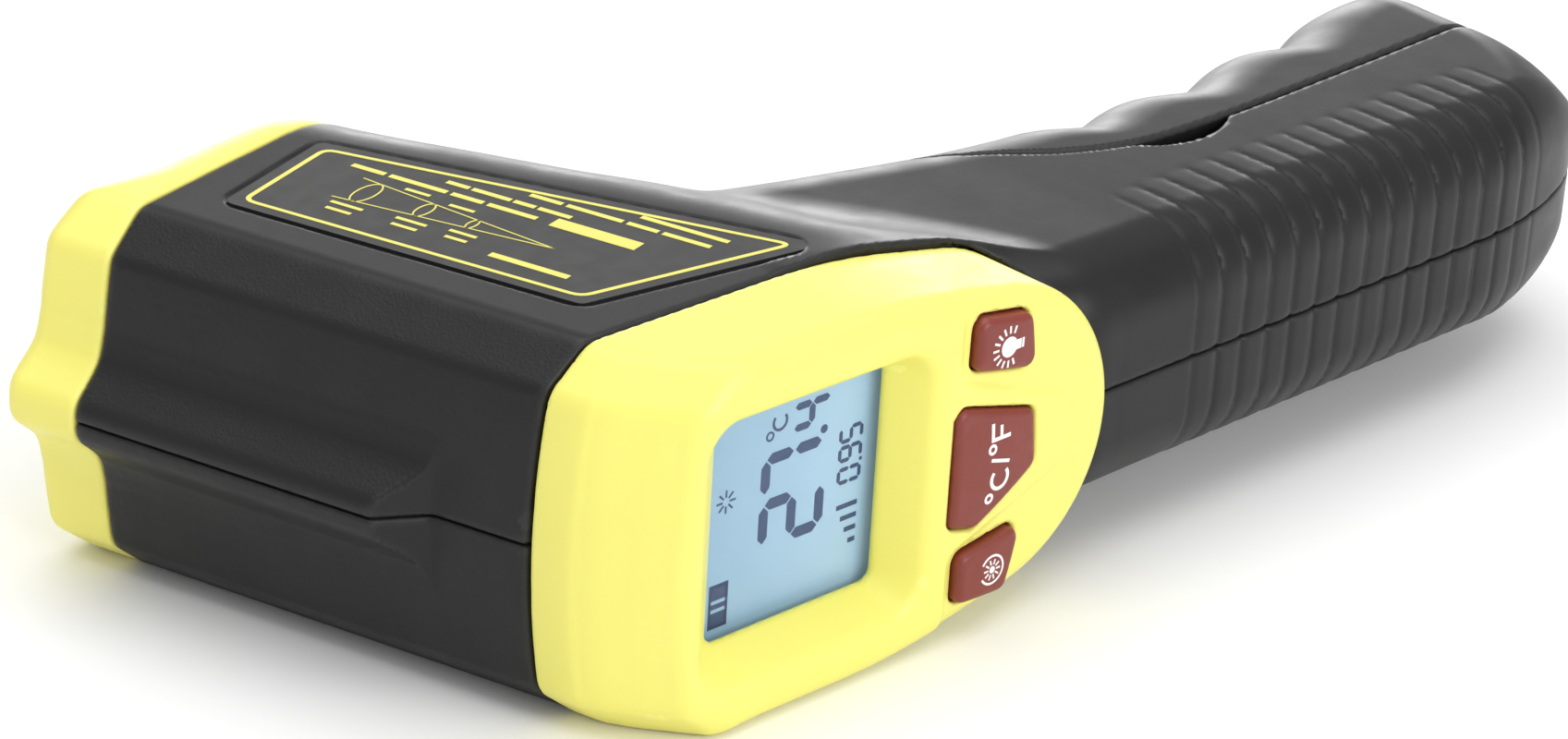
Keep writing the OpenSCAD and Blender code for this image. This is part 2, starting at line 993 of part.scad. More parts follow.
module housing_screws() {
    color(STEEL)
        for (s = SCREWS) {
            top = -s[1] + screw_sunk;
            difference() {
                z_rod(s[0], top, top + screw_head_h, screw_head_r);
                translate([s[0][0], s[0][1], top + 0.6])
                    for (a = [0, 90])
                        rotate([0, 0, a])
                            cube([3.2, 0.7, 1.3], center = true);
            }
            z_rod(s[0], top + screw_head_h, screw_tip, screw_r);
        }
}

module board_screws() {
    color(STEEL)
        on_rear()
            for (p = POSTS) {
                y_rod(p[0], p[1], -board_w0, -0.2, 1.9);
                y_rod(p[0], p[1], -7, -board_w0, board_screw_r);
            }
}

module label(side) {
    z0 = side > 0 ? half_w - label_sunk : -half_w + label_sunk - label_t;
    color([0.12, 0.12, 0.13])
        plate(z0, z0 + label_t, label_outline(-1.8 + label_room));
}

module label_right() {
    label(1);
}

module label_left() {
    label(-1);
}

place() right_shell();
place() left_shell();
place() front_bezel();
place() rear_bezel();
place() battery_door();
place() door_hinge_pin();
place() lens_barrel();
place() ir_lens();
place() thermopile_sensor();
place() sensor_board();
place() laser_module();
place() laser_window();
place() lcd_window();
place() lcd_panel();
place() backlight();
place() contact_strip();
place() main_board();
place() processor();
place() buzzer();
place() dome_switches();
place() backlight_button();
place() units_button();
place() laser_button();
place() trigger();
place() trigger_spring();
place() trigger_switch();
place() battery_holder();
place() battery_right();
place() battery_left();
place() battery_springs();
place() battery_contacts();
place() battery_leads();
place() sensor_ribbon();
place() housing_screws();
place() board_screws();
place() label_right();
place() label_left();
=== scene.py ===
import math

import bpy
import numpy as np
from mathutils import Euler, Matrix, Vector


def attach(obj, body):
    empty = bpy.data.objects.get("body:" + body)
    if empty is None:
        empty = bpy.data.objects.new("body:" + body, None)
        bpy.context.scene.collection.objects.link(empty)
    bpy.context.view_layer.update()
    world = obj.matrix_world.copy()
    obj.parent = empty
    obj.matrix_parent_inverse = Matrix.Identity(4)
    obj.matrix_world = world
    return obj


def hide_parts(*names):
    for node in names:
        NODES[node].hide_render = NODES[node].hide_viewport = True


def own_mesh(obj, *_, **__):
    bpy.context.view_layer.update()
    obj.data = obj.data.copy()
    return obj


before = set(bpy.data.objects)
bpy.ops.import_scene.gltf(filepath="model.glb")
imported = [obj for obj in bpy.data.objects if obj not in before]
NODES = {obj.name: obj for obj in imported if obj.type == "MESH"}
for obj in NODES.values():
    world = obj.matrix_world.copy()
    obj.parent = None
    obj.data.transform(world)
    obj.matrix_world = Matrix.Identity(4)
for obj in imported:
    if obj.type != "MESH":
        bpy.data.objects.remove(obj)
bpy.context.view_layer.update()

# Infrared thermometer lying on its left side.
# The forms are drawn in the gun's own frame, in millimetres: x runs down the grip from the head's
# top face, y forward along the line of sight, z to the right side from the parting plane.
ORIGIN = np.array([73.0, -42.5, -19.0])
GRIP_Y = -59.35
SEAM_Y = -48.3
GRIP_COS, GRIP_SIN = math.cos(math.radians(15.6)), math.sin(math.radians(15.6))
REAR_COS, REAR_SIN = math.cos(math.radians(16.2)), math.sin(math.radians(16.2))
GRIP_END = 147.5
HALF_W = 19.0
WALL = 2
# The top face is crowned and has a bevel along each side.
CROWN, TOP_HALF = 1.5, 15.2
BEVEL_W, BEVEL_D, BEVEL_L = 3.8, 4.6, 5.967


def metres(points):
    """Points of the gun's frame, in millimetres, as points of the row's frame in metres."""
    return (np.asarray(points, float) - ORIGIN) / 1000


def grip_sn(x, y):
    """Distance along the grip, and forward from its back edge."""
    return x * GRIP_COS - (y - GRIP_Y) * GRIP_SIN, x * GRIP_SIN + (y - GRIP_Y) * GRIP_COS


def grip_point(s, n, z):
    return (s * GRIP_COS + n * GRIP_SIN, GRIP_Y - s * GRIP_SIN + n * GRIP_COS, z)


def rear_uw(x, y):
    """Distance down the display face, and outwards from the rear seam."""
    return x * REAR_COS - (y - SEAM_Y) * REAR_SIN, -x * REAR_SIN - (y - SEAM_Y) * REAR_COS


def rear_point(u, z, w):
    return (u * REAR_COS - w * REAR_SIN, SEAM_Y - u * REAR_SIN - w * REAR_COS, z)


# ---------------------------------------------------------------- distance fields

def smin(a, b, k):
    h = np.clip(0.5 + 0.5 * (b - a) / k, 0, 1)
    return b + (a - b) * h - k * h * (1 - h)


def smax(a, b, k):
    return -smin(-a, -b, k)


def rmax(a, b, r):
    """The intersection of two forms, with an edge rounded to radius r."""
    inside = np.minimum(np.maximum(a, b), -r)
    return inside + np.hypot(np.maximum(a + r, 0), np.maximum(b + r, 0))


def step(x, a, b):
    t = np.clip((x - a) / (b - a), 0, 1)
    return t * t * (3 - 2 * t)


def smooth(*points):
    """A smooth function through points, by the Catmull-Rom rule."""
    xs, ys = np.array(points, float).T
    fine = np.linspace(xs[0], xs[-1], 600)
    i = np.clip(np.searchsorted(xs, fine, side="right") - 1, 0, len(xs) - 2)
    a, b = ys[np.maximum(i - 1, 0)], ys[i]
    c, d = ys[i + 1], ys[np.minimum(i + 2, len(xs) - 1)]
    t = (fine - xs[i]) / (xs[i + 1] - xs[i])
    out = b + t / 2 * ((c - a) + t * ((2 * a - 5 * b + 4 * c - d) + t * (3 * b - a - 3 * c + d)))
    return lambda x: np.interp(x, fine, out)


def inset(points, d):
    """An anticlockwise outline with each side moved inwards by d."""
    p = np.array(points, float)
    e = np.roll(p, -1, 0) - p
    e /= np.linalg.norm(e, axis=1)[:, None]
    n = np.stack([-e[:, 1], e[:, 0]], 1)
    m = np.roll(n, 1, 0)
    return p + d * (m + n) / (1 + (m * n).sum(1))[:, None]


def polygon(u, v, points, r=0.0):
    """Distance to a convex anticlockwise outline whose corners have radius r."""
    p = inset(points, r)
    near, side = 1e9, -1e9
    for a, b in zip(p, np.roll(p, -1, 0)):
        e = b - a
        length = math.hypot(*e)
        du, dv = u - a[0], v - a[1]
        t = np.clip((du * e[0] + dv * e[1]) / length ** 2, 0, 1)
        near = np.minimum(near, np.hypot(du - t * e[0], dv - t * e[1]))
        side = np.maximum(side, (du * e[1] - dv * e[0]) / length)
    return np.where(side > 0, near, -near) - r


def rectangle(u, v, u0, u1, half, r):
    return rmax(np.abs(u - (u0 + u1) / 2) - (u1 - u0) / 2, np.abs(v) - half, r)


def rod(a, b, r):
    return np.hypot(a, b) - r


# ---------------------------------------------------------------- the housing's outer form

# Along the grip: the heights of its back and front surfaces, and its half width
BACK = smooth((26, 10.6), (40, 10.4), (50, 4.2), (58, 0.5), (64, 0), (148, 0))
FRONT = smooth(
    (26, 48.5), (36, 48.2), (42, 46.4), (50, 44.2), (56, 42.8), (63, 41.1), (70, 39.6), (77, 38.5),
    (82, 37.8), (88, 35.2), (97, 37.1), (105, 34.9), (116, 38.3), (123.5, 36.9), (133, 40.6),
    (141.5, 41.7), (148, 42.0))
HALF = smooth((26, 14), (42, 13.8), (50, 13.6), (57, 13.4), (63, 13.3), (70, 13.2), (148, 13.2))
# Along the line of sight: the depth at which the head's sides start to round into the underside
EDGE = smooth((-70, 39), (-51, 35.6), (-39, 34.1), (-20.7, 30.5), (-1.2, 26.7), (10, 26.2))
# The ridge's height at distances from the mid-plane
RIDGE = smooth((0, 5.5), (1.2, 5.4), (2.2, 4.9), (3.2, 3.8), (4.2, 2.7), (5.2, 1.9), (6.5, 1.4),
               (8, 0.8), (9.5, -1))
# Along the grip: the height of the battery door's seam
SEAM = smooth((60, 36), (65.5, 33.2), (70, 28.8), (78, 23.2), (86.5, 20.0), (98, 19.3),
              (120, 20.0), (150, 21.3))
RIBS, RIB_PITCH, RIB_START = 15, 3.75, 75.9
RIB_HALF, RIB_RISE, RIB_SINK = 1.95, 0.30, 0.24
FRONT_ROUND, REAR_ROUND = 13.0, 7.5
RIDGE_L, BELLY_R = 37.5, 18.2
NOSE_U, NOSE_R, TAPER_U, TAPER_SIN, TAPER_COS = 46.4, 16.3, 34.5, 0.196, 0.981


def ribs(s, n):
    """How far the ribs on the back of the grip stand out, and the gaps between them sink."""
    k = np.clip(np.round((s - RIB_START) / RIB_PITCH), 0, RIBS - 1)
    q = np.hypot(s - RIB_START - k * RIB_PITCH, np.maximum(n - 11.3, 0)) / RIB_HALF
    rib = np.maximum(1 - q ** 4, 0)
    last = RIB_START + (RIBS - 1) * RIB_PITCH
    zone = step(s, RIB_START - 2.6, RIB_START - 1) * step(s, last + 2.6, last + 1)
    side = (0.45 + 0.55 * step(n, 9, 5)) * step(n, 13.4, 10.4)
    return zone * side * (RIB_RISE * rib - RIB_SINK)


def grip(x, y, z):
    """The grip, with rounded edges and foot, from the head downwards."""
    s, n = grip_sn(x, y)
    back, front = BACK(s), FRONT(s)
    mid = (back + front) / 2
    ahead = n > mid
    corner = np.where(ahead, FRONT_ROUND, REAR_ROUND)
    sleeve = rmax(np.where(ahead, n - front, back - n), np.abs(z) - HALF(s), corner)
    t = np.clip(2 * (n - mid) / (front - back), -1, 1)
    foot = 10 + np.where(ahead, -4, 17) * t * t
    return smax(rmax(sleeve, s - GRIP_END, foot), 29 - s, 3) - ribs(s, n)


def crown(az):
    """Height of the crown over the top face's edges."""
    return CROWN * (1 - np.minimum(az / TOP_HALF, 1) ** 2)


def bevel(az, depth):
    """Distance outwards from the bevel's plane."""
    return (BEVEL_D * (az - TOP_HALF) - BEVEL_W * depth) / BEVEL_L


def top_height(y, z):
    """Height of the crowned top face, with the ridge on it."""
    z = np.abs(z)
    ramp = 1.45 + 0.952 * (y + RIDGE_L)
    return smax(crown(z), smin(RIDGE(z), ramp, 0.2), 0.45)


def head(x, y, z):
    """The head as an endless bar along the line of sight."""
    edge = EDGE(y)
    az = np.abs(z)
    belly = rmax(x - edge - BELLY_R, az - HALF_W, BELLY_R)
    return smax(smax(-0.85 * (x + top_height(y, z)), bevel(az, x), 0.6), belly, 0.8)


def tail(u, z):
    """The tapering sides and round nose of the rear outline."""
    az = np.abs(z)
    line = TAPER_SIN * (u - TAPER_U) + TAPER_COS * (az - HALF_W)
    round_end = np.hypot(u - NOSE_U, az) - NOSE_R
    return np.where((az < 4.96 * (u - NOSE_U)) & (u > NOSE_U), round_end, line)


def rear_outline(u, z, top=0.0):
    """The rear bezel's outline in the plane of the rear seam, with its top edge at u = top."""
    az = np.abs(z)
    sides = smax(tail(u, z), az - HALF_W, 1.5)
    return smax(smax(top - u - crown(az), bevel(az, u - top), 0.8), sides, 0.8)


def body(x, y, z):
    """The whole black housing from outside, before it is cut into shells and door."""
    u, w = rear_uw(x, y)
    near = np.maximum(-w, 0)
    top = smax(head(x, y, z), tail(u, z) - 0.25 * near, 1.2)
    nose = smax(tail(u, z), 30 - u, 2) + 0.35 * near
    top = smax(smin(top, nose, 3), w + 0.05, 0.7)
    form = smin(top, grip(x, y, z), 5)
    return smax(form, np.abs(z) - HALF_W, 0.6)


def seam_front(x, y):
    """Distance ahead of the front seam, which leans a little."""
    return y + 0.03 * x


# ---------------------------------------------------------------- parts as distance fields

# The label's outline in x and y, the depth of its recess and the height of its face
LABEL = [(25.9, -6.2), (11.2, -7.0), (12.0, -44.2), (33.9, -54.0)]
LABEL_SUNK, LABEL_FACE = 0.37, 18.9
# The battery door's hinge pin, in the grip frame
PIVOT_S, PIVOT_N = 142.6, 26.0
LENS_X, LENS_OPENING_R = 22, 12.6
# Each housing screw's x and y, and the half width of the housing there
SCREWS = [(37.5, -12.5, 17.4), (16, -41, 19), (50, -54, 16.4),
          (*grip_point(137, 13, 0)[:2], 13.2), (*grip_point(84, 8, 0)[:2], 13.2)]


def door_region(s, n):
    """Negative inside the battery door's side of its seam."""
    return smax((SEAM(s) - n) * 0.85, 65.5 - s, 2.5)


def hinge_lug(x, y, z):
    """The bent arm on the shells that carries the door's hinge pin."""
    s, n = grip_sn(x, y)
    pin = np.hypot(s - PIVOT_S, n - PIVOT_N) - 2.6
    pivot, knee, root = (PIVOT_S, PIVOT_N), (PIVOT_S - 5.3, 22.4), (135, 13)
    arm = 1e9
    for (s0, n0), (s1, n1) in ((pivot, knee), (knee, root)):
        es, en = s1 - s0, n1 - n0
        t = np.clip(((s - s0) * es + (n - n0) * en) / (es * es + en * en), 0, 1)
        arm = np.minimum(arm, np.hypot(s - s0 - t * es, n - n0 - t * en) - 1.6)
    return rmax(smin(pin, arm, 1), np.abs(z) - 3.2, 0.3)


def shell(side):
    """The right shell for side 1 and the left shell for side -1; only the left shell has the screw holes."""
    def field(x, y, z):
        outside = body(x, y, z)
        s, n = grip_sn(x, y)
        u, w = rear_uw(x, y)
        az = np.abs(z)
        seams = smax(seam_front(x, y) + 0.05, 0.06 - side * z, 0.3)
        recess = np.maximum(polygon(y, -x, [(b, -a) for a, b in inset(LABEL, -1.8)], 2.6),
                            HALF_W - LABEL_SUNK - az)
        form = smax(outside, -recess, 0.35)
        form = np.maximum(form, -(outside + WALL))
        form = smax(form, 0.12 - door_region(s, n), 0.5)
        form = np.minimum(form, hinge_lug(x, y, z))
        trigger_slot = np.maximum(rectangle(s, z, 36.2, 55.3, 4.8, 0.8), 38 - n)
        form = smax(form, -trigger_slot, 0.3)
        notch = np.maximum(rod(s - 93, n - 27.2, 10.3), HALF(s) - 1.5 - az)
        form = smax(form, -notch, 0.3)
        bezel = np.maximum(rear_outline(u, z) - 0.14, -0.05 - w)
        form = smax(form, -bezel, 0.6)
        if side < 0:
            for sx, sy, half in SCREWS:
                form = smax(form, -np.maximum(rod(x - sx, y - sy, 2.9), z + half - 6), 0.3)
        return smax(form, seams, 0.55)
    return field


def battery_door(x, y, z):
    """The front of the grip, with two ears round the hinge lug."""
    s, n = grip_sn(x, y)
    outside = grip(x, y, z)
    heel = np.maximum(rod(s - PIVOT_S, n - PIVOT_N, 4.8), 0)
    form = np.maximum(outside, -(outside + WALL))
    form = smax(form, door_region(s, n) + 0.12, 0.5)
    ear = np.abs(np.abs(z) - 5.1) - 1.5
    arm = rectangle(s - PIVOT_S, n - PIVOT_N - 2.5, -1, 3.7, 3.5, 0.4)
    ears = np.maximum(smin(rod(s - PIVOT_S, n - PIVOT_N, 3.2), arm, 0.6), ear)
    form = np.minimum(form, ears)
    below = (s > PIVOT_S) & (n < PIVOT_N)
    form = np.where(below, np.maximum(form, heel), form)
    slot = rectangle(s - PIVOT_S + 4.2, z, -4.8, 4.7, 3.5, 0.3)
    return np.maximum(form, -np.maximum(slot, n - PIVOT_N + 0.5))


def front_bezel(x, y, z):
    """The front frame, with the lens opening and the laser's boss and bore."""
    edge = 2.0 + 3.6 * step(x, -1, 14)
    face = y - 8.4 + 0.09 * x
    form = rmax(head(x, np.maximum(y, 0), z), face, edge)
    form = np.maximum(form, -(form + WALL))
    laser_boss = np.maximum(rod(x, z, 4.2), np.maximum(y - 8, 1 - y))
    form = np.minimum(form, laser_boss)
    form = smax(form, -rod(x - LENS_X, z, LENS_OPENING_R), 0.9)
    form = smax(form, -rod(x, z, 2.0), 0.4)
    form = np.maximum(form, -np.maximum(rod(x, z, 2.75), y - 6.45))
    return smax(form, 0.05 - seam_front(x, y), 0.6)


# The keys' outlines on the display face
RIGHT_KEY = [(41.8, 9.9), (50.2, 8.1), (49.1, 14.1), (41.9, 15.3)]
LEFT_KEY = [(41.4, -14.7), (48.0, -14.9), (49.9, -8.2), (41.4, -9.5)]
UNITS_KEY = [(40, -6.2), (43.4, -7.0), (51.2, -2.3), (50.6, 3.6), (40, 6.5)]
KEYS = {"backlight_button": RIGHT_KEY, "units_button": UNITS_KEY, "laser_button": LEFT_KEY}
KEY_BODIES = {"backlight_button": "backlight_key", "units_button": "units_key",
              "laser_button": "laser_key"}
# Heights over the rear seam: the display face, the keys' tops and their crown, the display panel
FACE_W, KEY_W, KEY_DOME, PANEL_W = 13, 13.7, 0.4, 6.81
# How far the rear bezel's top edge has sloped down at each height
BEZEL_TOP = smooth((-2, 0), (0, 0), (3, 0.6), (5, 1.5), (9, 4.5), (13, 7.6), (14, 8.3))


def plateau(u, z):
    """Negative on the raised part of the display face, which ends round the middle key."""
    tongue = np.maximum(u - 54.8, 0.94 * (np.abs(z) - 8.6 + 0.37 * (u - 41)))
    return smin(u - 40, tongue, 1.6)


def rear_bezel(x, y, z):
    """The rear frame, with the dished surround of the display and the key holes."""
    u, w = rear_uw(x, y)
    sides = rear_outline(u, z, BEZEL_TOP(w))
    face = w - FACE_W + 0.4 * step(plateau(u, z), -0.2, 0.7)
    r = 1.3 + 1.2 * step(u, 6, 18)
    form = rmax(sides * 0.92, face, r)
    t = np.clip((w - 8.2) / 4.8, -0.4, 1.3)
    ends = (13.2 - 5.4 * t, 34.2 + 3.3 * t, 11.1 + 2.9 * t)
    dish = 0.68 * rmax(np.abs(u - (ends[0] + ends[1]) / 2) - (ends[1] - ends[0]) / 2,
                       np.abs(z) - ends[2], np.clip(1 + 3.4 * t, 0.6, 6))
    wall = np.maximum(dish - 1.1, 7.75 - w)
    inner = np.maximum(rmax(sides + 1.6, w - 11.4, np.maximum(r - 1.2, 0.4)), -wall)
    form = np.maximum(form, -inner)
    form = smax(form, -np.maximum(dish, 8.2 - w), 1.1)
    form = np.maximum(form, -rectangle(u, z, 13.2, 34.2, 11.1, 1.0))
    for key in KEYS.values():
        form = smax(form, -np.maximum(polygon(u, z, inset(key, -0.2), 1.4), 5 - w), 0.5)
    return smax(form, -w, 0.7)


def dome_drop(points, u, v):
    """How far a key's crowned top has fallen at (u, v)."""
    centre = np.mean(points, 0)
    drop = 0.25 * (((u - centre[0]) / 5) ** 2 + ((v - centre[1]) / 5) ** 2)
    return np.minimum(drop, KEY_DOME)


def key(points):
    """A soft key with its top, the flange under the face and the stem over its dome."""
    def field(x, y, z):
        u, w = rear_uw(x, y)
        centre = np.mean(points, 0)
        top = rmax(polygon(u, z, points, 1.2), w - KEY_W + dome_drop(points, u, z), 0.75)
        flange = np.maximum(polygon(u, z, inset(points, -0.9), 1.2), np.abs(w - 9.8) - 0.6)
        flange = np.maximum(flange, rear_outline(u, z) + 3)
        stem = np.maximum(rod(u - centre[0], z - centre[1], 1.8), np.abs(w - 7.4) - 2.1)
        return np.minimum(np.maximum(top, 10.4 - w), np.minimum(flange, stem))
    return field


def trigger(x, y, z):
    """A hollowed finger blade on a flange that stays inside the grip."""
    s, n = grip_sn(x, y)
    t = np.clip((54.6 - s) / 17.6, 0, 1)
    front = 52 + 2.4 * t - 2.2 * np.sin(math.pi * t)
    blade = rmax(rmax(np.abs(s - 45.8) - 8.8, n - front, 1.6), np.abs(z) - 4.5, 1.5)
    blade = np.maximum(blade, 40.2 - n)
    flange = np.maximum(rectangle(s, z, 38, 56, 7, 0.5), np.abs(n - 40.1) - 1.1)
    return np.minimum(blade, flange)


# ---------------------------------------------------------------- fields to meshes

# A cell's corners and edges; the grid is sampled in blocks of this many cells a side
CORNERS = np.array([(i, j, k) for i in (0, 1) for j in (0, 1) for k in (0, 1)])
CELL_EDGES = [(a, b) for a in range(8) for b in range(a + 1, 8)
              if abs(CORNERS[a] - CORNERS[b]).sum() == 1]
BLOCK = 5


def sample(field, low, counts, h):
    """The field on the grid; blocks far from the surface only keep their sign."""
    coarse = [low[i] + h * BLOCK * (np.arange(counts[i] // BLOCK) + 0.5) for i in range(3)]
    rough = field(*np.meshgrid(*coarse, indexing="ij")).astype(np.float32)
    values = rough
    for axis in range(3):
        values = np.repeat(values, BLOCK, axis)
    values = np.pad(values, ((0, 1),) * 3, mode="edge")
    active = np.argwhere(np.abs(rough) < h * BLOCK * 1.9 + 0.5)
    local = np.stack(np.meshgrid(*[np.arange(BLOCK + 1)] * 3, indexing="ij"), -1).reshape(-1, 3)
    for part in np.array_split(active, max(1, len(active) // 3000)):
        index = (part[:, None] * BLOCK + local[None]).reshape(-1, 3)
        p = low + h * index
        values[tuple(index.T)] = field(p[:, 0], p[:, 1], p[:, 2])
    return values


def gradient(field, p, e=0.06):
    """The field's gradient at the points p, by central differences of reach e."""
    g = np.empty_like(p)
    for axis in range(3):
        d = np.zeros(3)
        d[axis] = e
        g[:, axis] = (field(*(p + d).T) - field(*(p - d).T)) / (2 * e)
    return g


def surface(field, low, high, h):
    """Vertices, quads and normals of the surface on which the field is zero."""
    low = np.array(low, float) - h * 1.37
    counts = np.ceil((np.array(high) + h * 1.5 - low) / h / BLOCK).astype(int) * BLOCK
    v = sample(field, low, counts, h)
    inside = v < 0
    full = np.zeros(counts, np.int8)
    for i, j, k in CORNERS:
        full += inside[i:i + counts[0], j:j + counts[1], k:k + counts[2]]
    cells = np.argwhere((full > 0) & (full < 8))
    number = np.full(counts, -1, np.int64)
    number[tuple(cells.T)] = np.arange(len(cells))
    values = np.stack([v[tuple((cells + c).T)] for c in CORNERS], 1)
    total = np.zeros((len(cells), 3))
    hits = np.zeros(len(cells))
    for a, b in CELL_EDGES:
        va, vb = values[:, a], values[:, b]
        cross = (va < 0) != (vb < 0)
        t = np.where(cross, va / np.where(cross, va - vb, 1), 0)[:, None]
        total += cross[:, None] * (CORNERS[a] + t * (CORNERS[b] - CORNERS[a]))
        hits += cross
    p = low + h * (cells + total / hits[:, None])
    home = p.copy()
    for _ in range(3):
        g = gradient(field, p)
        f = field(*p.T)
        p = p - (f / np.maximum((g * g).sum(1), 0.05))[:, None] * g
        p = np.clip(p, home - 0.6 * h, home + 0.6 * h)
    quads = []
    for axis in range(3):
        d = np.eye(3, dtype=int)[axis]
        e1, e2 = np.eye(3, dtype=int)[(axis + 1) % 3], np.eye(3, dtype=int)[(axis + 2) % 3]
        a = inside[:counts[0], :counts[1], :counts[2]]
        b = inside[d[0]:counts[0] + d[0], d[1]:counts[1] + d[1], d[2]:counts[2] + d[2]]
        at = np.argwhere(a != b)
        at = at[(at[:, (axis + 1) % 3] > 0) & (at[:, (axis + 2) % 3] > 0)]
        q = np.stack([number[tuple(c.T)] for c in (at - e1 - e2, at - e2, at, at - e1)], 1)
        q = np.where(a[tuple(at.T)][:, None], q, q[:, ::-1])
        quads.append(q[(q >= 0).all(1)])
    g = gradient(field, p, 0.2)
    normals = g / np.maximum(np.linalg.norm(g, axis=1), 1e-9)[:, None]
    return p, np.concatenate(quads), normals


def mesh_object(name, points, faces, normals=None):
    """A smooth mesh object from points of the gun's frame."""
    mesh = bpy.data.meshes.new(name)
    mesh.from_pydata(metres(points).tolist(), [], [list(map(int, f)) for f in faces])
    mesh.polygons.foreach_set("use_smooth", [normals is not None] * len(mesh.polygons))
    if normals is not None:
        mesh.normals_split_custom_set_from_vertices(normals.tolist())
    obj = bpy.data.objects.new(name, mesh)
    bpy.context.scene.collection.objects.link(obj)
    return obj


def formed(name, field, low, high, h, material, body="root", node=None):
    """A piece that follows a field and stands for a CAD node."""
    obj = mesh_object(name, *surface(field, low, high, h))
    obj.data.materials.append(material)
    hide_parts(node or name)
    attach(obj, body)
    return obj


# ---------------------------------------------------------------- materials

class Nodes:
    """A material's node tree, with short calls for the nodes used here."""

    def __init__(self, name):
        self.material = bpy.data.materials.new(name)
        self.material.use_nodes = True
        self.tree = self.material.node_tree
        self.shader = self.tree.nodes["Principled BSDF"]
        self.coords = self.add("ShaderNodeTexCoord")
        self.place = self.coords.outputs["Object"]
        self.facing = self.coords.outputs["Normal"]

    def add(self, kind, **values):
        node = self.tree.nodes.new(kind)
        for key, value in values.items():
            setattr(node, key, value)
        return node

    def link(self, a, b):
        self.tree.links.new(a, b)

    def put(self, socket, value):
        if hasattr(value, "is_linked"):
            self.link(value, socket)
        else:
            socket.default_value = value

    def math(self, operation, *values):
        node = self.add("ShaderNodeMath", operation=operation)
        for socket, value in zip(node.inputs, values):
            self.put(socket, value)
        return node.outputs[0]

    def noise(self, scale, detail=3.0, rough=0.55, where=None):
        node = self.add("ShaderNodeTexNoise")
        self.link(where or self.place, node.inputs["Vector"])
        for key, value in (("Scale", scale), ("Detail", detail), ("Roughness", rough)):
            node.inputs[key].default_value = value
        return node.outputs["Fac"]

    def cells(self, scale):
        node = self.add("ShaderNodeTexVoronoi", feature="SMOOTH_F1")
        self.link(self.place, node.inputs["Vector"])
        node.inputs["Scale"].default_value = scale
        return node.outputs["Distance"]

    def stretch(self, scale):
        node = self.add("ShaderNodeMapping")
        self.link(self.place, node.inputs["Vector"])
        node.inputs["Scale"].default_value = scale
        return node.outputs[0]

    def towards(self, direction, low, high):
        """1 where the surface faces that way, 0 where it doesn't."""
        node = self.add("ShaderNodeVectorMath", operation="DOT_PRODUCT")
        self.link(self.facing, node.inputs[0])
        node.inputs[1].default_value = Vector(direction).normalized()
        return self.range(node.outputs["Value"], low, high, 0.0, 1.0)

    def range(self, value, low, high, a, b):
        node = self.add("ShaderNodeMapRange", interpolation_type="SMOOTHSTEP")
        for socket, v in zip(node.inputs, (value, low, high, a, b)):
            self.put(socket, v)
        return node.outputs[0]

    def mix(self, factor, a, b):
        node = self.add("ShaderNodeMix", data_type="RGBA")
        for key, value in ((0, factor), (6, a), (7, b)):
            self.put(node.inputs[key], value)
        return node.outputs[2]

    def edges(self, low=0.51, high=0.56):
        """Where the surface is sharply convex."""
        return self.range(self.add("ShaderNodeNewGeometry").outputs["Pointiness"], low, high, 0.0, 1.0)

    def bump(self, height, distance, strength=1.0):
        node = self.add("ShaderNodeBump")
        self.put(node.inputs["Strength"], strength)
        node.inputs["Distance"].default_value = distance
        self.link(height, node.inputs["Height"])
        self.link(node.outputs[0], self.shader.inputs["Normal"])

    def set(self, **values):
        for key, value in values.items():
            self.put(self.shader.inputs[key.replace("_", " ")], value)


def rgb(r, g, b):
    return (r, g, b, 1.0)


def tinted(nodes, colour, spread, scale):
    """A colour that drifts a little over the surface."""
    low = rgb(*(c * (1 - spread) for c in colour))
    high = rgb(*(min(1, c * (1 + spread)) for c in colour))
    return nodes.mix(nodes.noise(scale, 2.0), low, high)


def black_plastic():
    """Fine-grained plastic, with a leathery top face and coarser bevels on the head."""
    m = Nodes("black_abs")
    top = m.towards((-1, 0, 0), 0.80, 0.97)
    right_bevel = m.towards((-0.64, 0, 0.77), 0.90, 0.985)
    left_bevel = m.towards((-0.64, 0, -0.77), 0.90, 0.985)
    grainy = m.math("MAXIMUM", right_bevel, left_bevel)
    position = m.add("ShaderNodeSeparateXYZ")
    m.link(m.place, position.inputs[0])
    on_head = m.range(position.outputs["X"], -0.030, -0.036, 0.0, 1.0)
    top = m.math("MULTIPLY", top, on_head)
    grainy = m.math("MULTIPLY", grainy, on_head)
    base = tinted(m, (0.0110, 0.0110, 0.0116), 0.12, 90)
    # Lighter grey on sharp convex edges, broken up by noise: a painted edge highlight
    painted_edge_highlight = m.mix(m.math("MULTIPLY", m.edges(), m.noise(700, 3.0)), base, rgb(0.035, 0.035, 0.036))
    m.set(Base_Color=painted_edge_highlight)
    rough = m.range(m.noise(160, 4.0), 0.3, 0.7, 0.34, 0.42)
    rough = m.math("ADD", rough, m.math("MULTIPLY", top, 0.10))
    rough = m.math("ADD", rough, m.math("MULTIPLY", grainy, 0.16))
    m.set(Roughness=rough, Specular_IOR_Level=0.30)
    fine = m.math("MULTIPLY", m.noise(5200, 2.0, 0.6), 0.22)
    leather = m.math("MULTIPLY", m.math("MULTIPLY", m.cells(1700), top), 0.55)
    coarse = m.math("MULTIPLY", m.math("MULTIPLY", m.cells(3600), grainy), 0.9)
    height = m.math("ADD", m.math("ADD", fine, leather), coarse)
    m.bump(height, 0.00006, 0.8)
    return m.material


